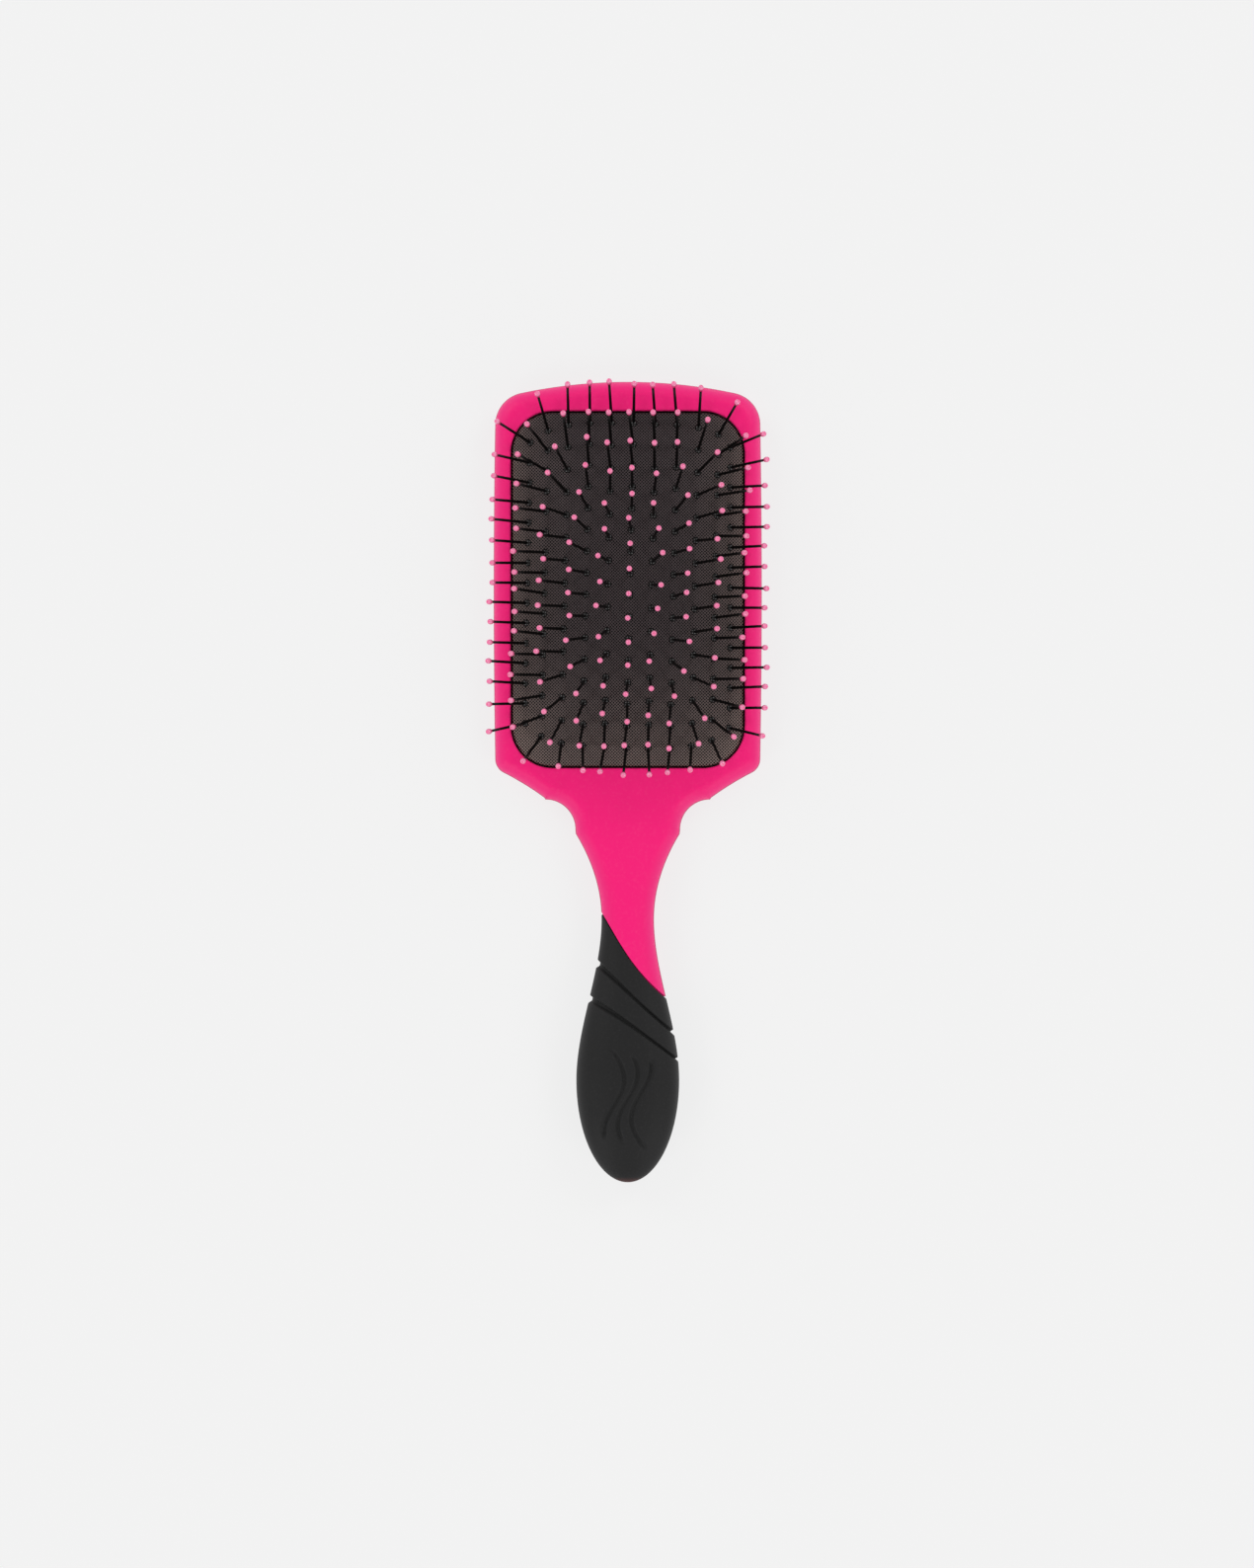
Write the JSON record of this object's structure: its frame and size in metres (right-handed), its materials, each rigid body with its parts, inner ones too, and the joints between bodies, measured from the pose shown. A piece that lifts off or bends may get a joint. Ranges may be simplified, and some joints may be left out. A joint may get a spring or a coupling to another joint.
{
  "type": "paddle brush",
  "caption": "Rectangular paddle hair brush: a domed air-cushion rubber pad with ball-tipped nylon pins in a soft-touch body, and a grooved soft grip.",
  "frame": {"origin": "on the plane of the head's flat back, below the middle of the brush's length and width", "axes": "+Y from the butt of the handle to the crown of the head, +Z from the back out along the pins, +X to the right seen from the pin side with the head up"},
  "size_m": [0.0922, 0.2672, 0.0408],
  "materials": {
    "soft_touch_body": "soft-touch matte",
    "grip_rubber": "matte",
    "frame_plastic": "moulded",
    "pad_rubber": "matte with a fine cross-hatch",
    "pin_nylon": "satin",
    "tip_resin": "translucent bead"
  },
  "bodies": {
    "paddle": {"paddle_body": "soft_touch_body", "rim_frame": "frame_plastic", "grip_sleeve": "grip_rubber"},
    "cushion": {"cushion_pad": "pad_rubber"},
    "row_01_low": {"pins_01_low": "pin_nylon"},
    "row_01_top": {"pins_01_top": "pin_nylon"},
    "row_02_low": {"pins_02_low": "pin_nylon"},
    "row_02_top": {"pins_02_top": "pin_nylon"},
    "row_03_low": {"pins_03_low": "pin_nylon"},
    "row_03_top": {"pins_03_top": "pin_nylon"},
    "row_04_low": {"pins_04_low": "pin_nylon"},
    "row_04_top": {"pins_04_top": "pin_nylon"},
    "row_05_low": {"pins_05_low": "pin_nylon"},
    "row_05_top": {"pins_05_top": "pin_nylon"},
    "row_06_low": {"pins_06_low": "pin_nylon"},
    "row_06_top": {"pins_06_top": "pin_nylon"},
    "row_07_low": {"pins_07_low": "pin_nylon"},
    "row_07_top": {"pins_07_top": "pin_nylon"},
    "row_08_low": {"pins_08_low": "pin_nylon"},
    "row_08_top": {"pins_08_top": "pin_nylon"},
    "row_09_low": {"pins_09_low": "pin_nylon"},
    "row_09_top": {"pins_09_top": "pin_nylon"},
    "row_10_low": {"pins_10_low": "pin_nylon"},
    "row_10_top": {"pins_10_top": "pin_nylon"},
    "row_11_low": {"pins_11_low": "pin_nylon"},
    "row_11_top": {"pins_11_top": "pin_nylon"}
  },
  "joints": [
    {"name": "cushion_press", "type": "slide", "parent": "paddle", "child": "cushion", "axis": [0, 0, 1], "range_m": [-0.0025, 0], "stiffness_N_per_m": 4000, "deforming": ["cushion_pad"]},
    {"name": "lean_01_low", "type": "hinge", "parent": "cushion", "child": "row_01_low", "pos_m": [-0.0342, 0.0382, 0.0129], "axis": [0, 0.9996, 0.0291], "range_deg": [-10, 10], "stiffness_Nm_per_rad": 0.05},
    {"name": "lean_01_top", "type": "hinge", "parent": "cushion", "child": "row_01_top", "pos_m": [-0.0342, 0.08826, 0.0129], "axis": [0, 0.9996, -0.0277], "range_deg": [-10, 10], "stiffness_Nm_per_rad": 0.05},
    {"name": "lean_02_low", "type": "hinge", "parent": "cushion", "child": "row_02_low", "pos_m": [-0.02838, 0.03773, 0.01474], "axis": [0, 0.998, 0.0629], "range_deg": [-10, 10], "stiffness_Nm_per_rad": 0.05},
    {"name": "lean_02_top", "type": "hinge", "parent": "cushion", "child": "row_02_top", "pos_m": [-0.02838, 0.09207, 0.01462], "axis": [0, 0.9976, -0.0689], "range_deg": [-10, 10], "stiffness_Nm_per_rad": 0.05},
    {"name": "lean_03_low", "type": "hinge", "parent": "cushion", "child": "row_03_low", "pos_m": [-0.02164, 0.0346, 0.01621], "axis": [0, 0.9943, 0.1068], "range_deg": [-10, 10], "stiffness_Nm_per_rad": 0.05},
    {"name": "lean_03_top", "type": "hinge", "parent": "cushion", "child": "row_03_top", "pos_m": [-0.02164, 0.09141, 0.01624], "axis": [0, 0.9949, -0.1005], "range_deg": [-10, 10], "stiffness_Nm_per_rad": 0.05},
    {"name": "lean_04_low", "type": "hinge", "parent": "cushion", "child": "row_04_low", "pos_m": [-0.01452, 0.0362, 0.01757], "axis": [0, 0.9921, 0.1253], "range_deg": [-10, 10], "stiffness_Nm_per_rad": 0.05},
    {"name": "lean_04_top", "type": "hinge", "parent": "cushion", "child": "row_04_top", "pos_m": [-0.01452, 0.0936, 0.01732], "axis": [0, 0.9907, -0.1364], "range_deg": [-10, 10], "stiffness_Nm_per_rad": 0.05},
    {"name": "lean_05_low", "type": "hinge", "parent": "cushion", "child": "row_05_low", "pos_m": [-0.00727, 0.03405, 0.01815], "axis": [0, 0.9883, 0.1525], "range_deg": [-10, 10], "stiffness_Nm_per_rad": 0.05},
    {"name": "lean_05_top", "type": "hinge", "parent": "cushion", "child": "row_05_top", "pos_m": [-0.00727, 0.09189, 0.0182], "axis": [0, 0.9897, -0.1435], "range_deg": [-10, 10], "stiffness_Nm_per_rad": 0.05},
    {"name": "lean_06_low", "type": "hinge", "parent": "cushion", "child": "row_06_low", "pos_m": [0, 0.0361, 0.0186], "axis": [0, 0.9893, 0.146], "range_deg": [-10, 10], "stiffness_Nm_per_rad": 0.05},
    {"name": "lean_06_top", "type": "hinge", "parent": "cushion", "child": "row_06_top", "pos_m": [0, 0.0937, 0.01832], "axis": [0, 0.9873, -0.1587], "range_deg": [-10, 10], "stiffness_Nm_per_rad": 0.05},
    {"name": "lean_07_low", "type": "hinge", "parent": "cushion", "child": "row_07_low", "pos_m": [0.00727, 0.03405, 0.01815], "axis": [0, 0.9883, 0.1525], "range_deg": [-10, 10], "stiffness_Nm_per_rad": 0.05},
    {"name": "lean_07_top", "type": "hinge", "parent": "cushion", "child": "row_07_top", "pos_m": [0.00727, 0.09189, 0.0182], "axis": [0, 0.9897, -0.1435], "range_deg": [-10, 10], "stiffness_Nm_per_rad": 0.05},
    {"name": "lean_08_low", "type": "hinge", "parent": "cushion", "child": "row_08_low", "pos_m": [0.01452, 0.0362, 0.01757], "axis": [0, 0.9921, 0.1253], "range_deg": [-10, 10], "stiffness_Nm_per_rad": 0.05},
    {"name": "lean_08_top", "type": "hinge", "parent": "cushion", "child": "row_08_top", "pos_m": [0.01452, 0.0936, 0.01732], "axis": [0, 0.9907, -0.1364], "range_deg": [-10, 10], "stiffness_Nm_per_rad": 0.05},
    {"name": "lean_09_low", "type": "hinge", "parent": "cushion", "child": "row_09_low", "pos_m": [0.02164, 0.0346, 0.01621], "axis": [0, 0.9943, 0.1068], "range_deg": [-10, 10], "stiffness_Nm_per_rad": 0.05},
    {"name": "lean_09_top", "type": "hinge", "parent": "cushion", "child": "row_09_top", "pos_m": [0.02164, 0.09141, 0.01624], "axis": [0, 0.9949, -0.1005], "range_deg": [-10, 10], "stiffness_Nm_per_rad": 0.05},
    {"name": "lean_10_low", "type": "hinge", "parent": "cushion", "child": "row_10_low", "pos_m": [0.02838, 0.03773, 0.01474], "axis": [0, 0.998, 0.0629], "range_deg": [-10, 10], "stiffness_Nm_per_rad": 0.05},
    {"name": "lean_10_top", "type": "hinge", "parent": "cushion", "child": "row_10_top", "pos_m": [0.02838, 0.09207, 0.01462], "axis": [0, 0.9976, -0.0689], "range_deg": [-10, 10], "stiffness_Nm_per_rad": 0.05},
    {"name": "lean_11_low", "type": "hinge", "parent": "cushion", "child": "row_11_low", "pos_m": [0.0342, 0.0382, 0.0129], "axis": [0, 0.9996, 0.0291], "range_deg": [-10, 10], "stiffness_Nm_per_rad": 0.05},
    {"name": "lean_11_top", "type": "hinge", "parent": "cushion", "child": "row_11_top", "pos_m": [0.0342, 0.08826, 0.0129], "axis": [0, 0.9996, -0.0277], "range_deg": [-10, 10], "stiffness_Nm_per_rad": 0.05}
  ]
}
